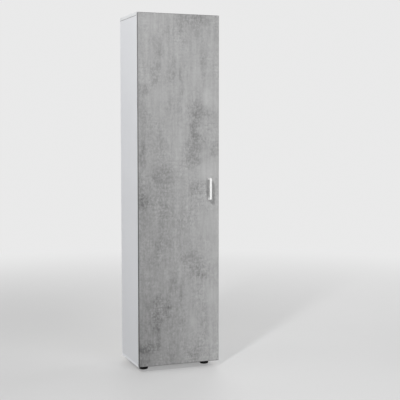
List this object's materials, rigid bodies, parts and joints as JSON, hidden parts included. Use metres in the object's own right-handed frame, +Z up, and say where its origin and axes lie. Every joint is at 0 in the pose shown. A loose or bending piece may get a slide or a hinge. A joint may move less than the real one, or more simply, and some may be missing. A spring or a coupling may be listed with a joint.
{
  "type": "tall cabinet",
  "caption": "Tall narrow cabinet of white boards on round black feet, with a full-height hinged door in a grey concrete decor and a small bow handle.",
  "frame": {"origin": "middle of the floor print, handle included, at floor height", "axes": "+Z up, +Y from the door to the back, +X to the right of someone who faces the door"},
  "size_m": [0.455, 0.355, 1.9],
  "materials": {
    "white_board": "white melamine on particle board, satin",
    "white_fibreboard": "thin fibre board, lacquered white",
    "concrete_board": "concrete decor melamine on particle board, matt",
    "grey_edge": "plain grey edge band, matt",
    "black_plastic": "black moulded plastic",
    "white_handle": "white, satin gloss",
    "zinc_steel": "zinc plated steel",
    "nickel_steel": "nickel plated steel",
    "cast_zinc": "die-cast zinc",
    "beech": "fluted beech, raw",
    "clear_bumper": "soft clear bumper"
  },
  "bodies": {
    "carcass": {"left_side": "white_board", "right_side": "white_board", "top_panel": "white_board", "bottom_panel": "white_board", "middle_shelf": "white_board", "lower_back_panel": "white_fibreboard", "upper_back_panel": "white_fibreboard", "back_panel_nails": "zinc_steel", "lower_shelf_1": "white_board", "lower_shelf_2": "white_board", "upper_shelf_1": "white_board", "upper_shelf_2": "white_board", "shelf_pins": "nickel_steel", "cam_locks": "cast_zinc", "cam_bolts": "zinc_steel", "wood_dowels": "beech", "foot_front_left": "black_plastic", "foot_front_right": "black_plastic", "foot_rear_left": "black_plastic", "foot_rear_right": "black_plastic", "foot_screws": "zinc_steel", "wall_bracket": "zinc_steel", "wall_bracket_screw": "zinc_steel", "door_bumpers": "clear_bumper", "hinge_plate_bottom": "nickel_steel", "hinge_plate_lower": "nickel_steel", "hinge_plate_upper": "nickel_steel", "hinge_plate_top": "nickel_steel", "hinge_plate_screws": "zinc_steel", "hinge_arm_bottom": "nickel_steel", "hinge_arm_lower": "nickel_steel", "hinge_arm_upper": "nickel_steel", "hinge_arm_top": "nickel_steel", "hinge_arm_screws": "zinc_steel", "hinge_arm_pins": "nickel_steel"},
    "hinge_links": {"hinge_link_bottom": "nickel_steel", "hinge_link_lower": "nickel_steel", "hinge_link_upper": "nickel_steel", "hinge_link_top": "nickel_steel"},
    "door": {"door_panel": "concrete_board", "door_edge_bands": "grey_edge", "hinge_cup_bottom": "nickel_steel", "hinge_cup_lower": "nickel_steel", "hinge_cup_upper": "nickel_steel", "hinge_cup_top": "nickel_steel", "hinge_cup_screws": "zinc_steel", "hinge_cup_pins": "nickel_steel", "handle": "white_handle", "handle_screws": "zinc_steel"}
  },
  "joints": [
    {"name": "link_swing", "type": "hinge", "parent": "carcass", "child": "hinge_links", "pos_m": [-0.196, -0.1335, 0.965], "axis": [0, 0, 1], "range_deg": [0, 45]},
    {"name": "door_swing", "type": "hinge", "parent": "hinge_links", "child": "door", "pos_m": [-0.215, -0.133, 0.965], "axis": [0, 0, -1], "range_deg": [0, 145]}
  ],
  "couplings": [
    {"joint": "link_swing", "follows": "door_swing", "ratio": 0.31034}
  ]
}
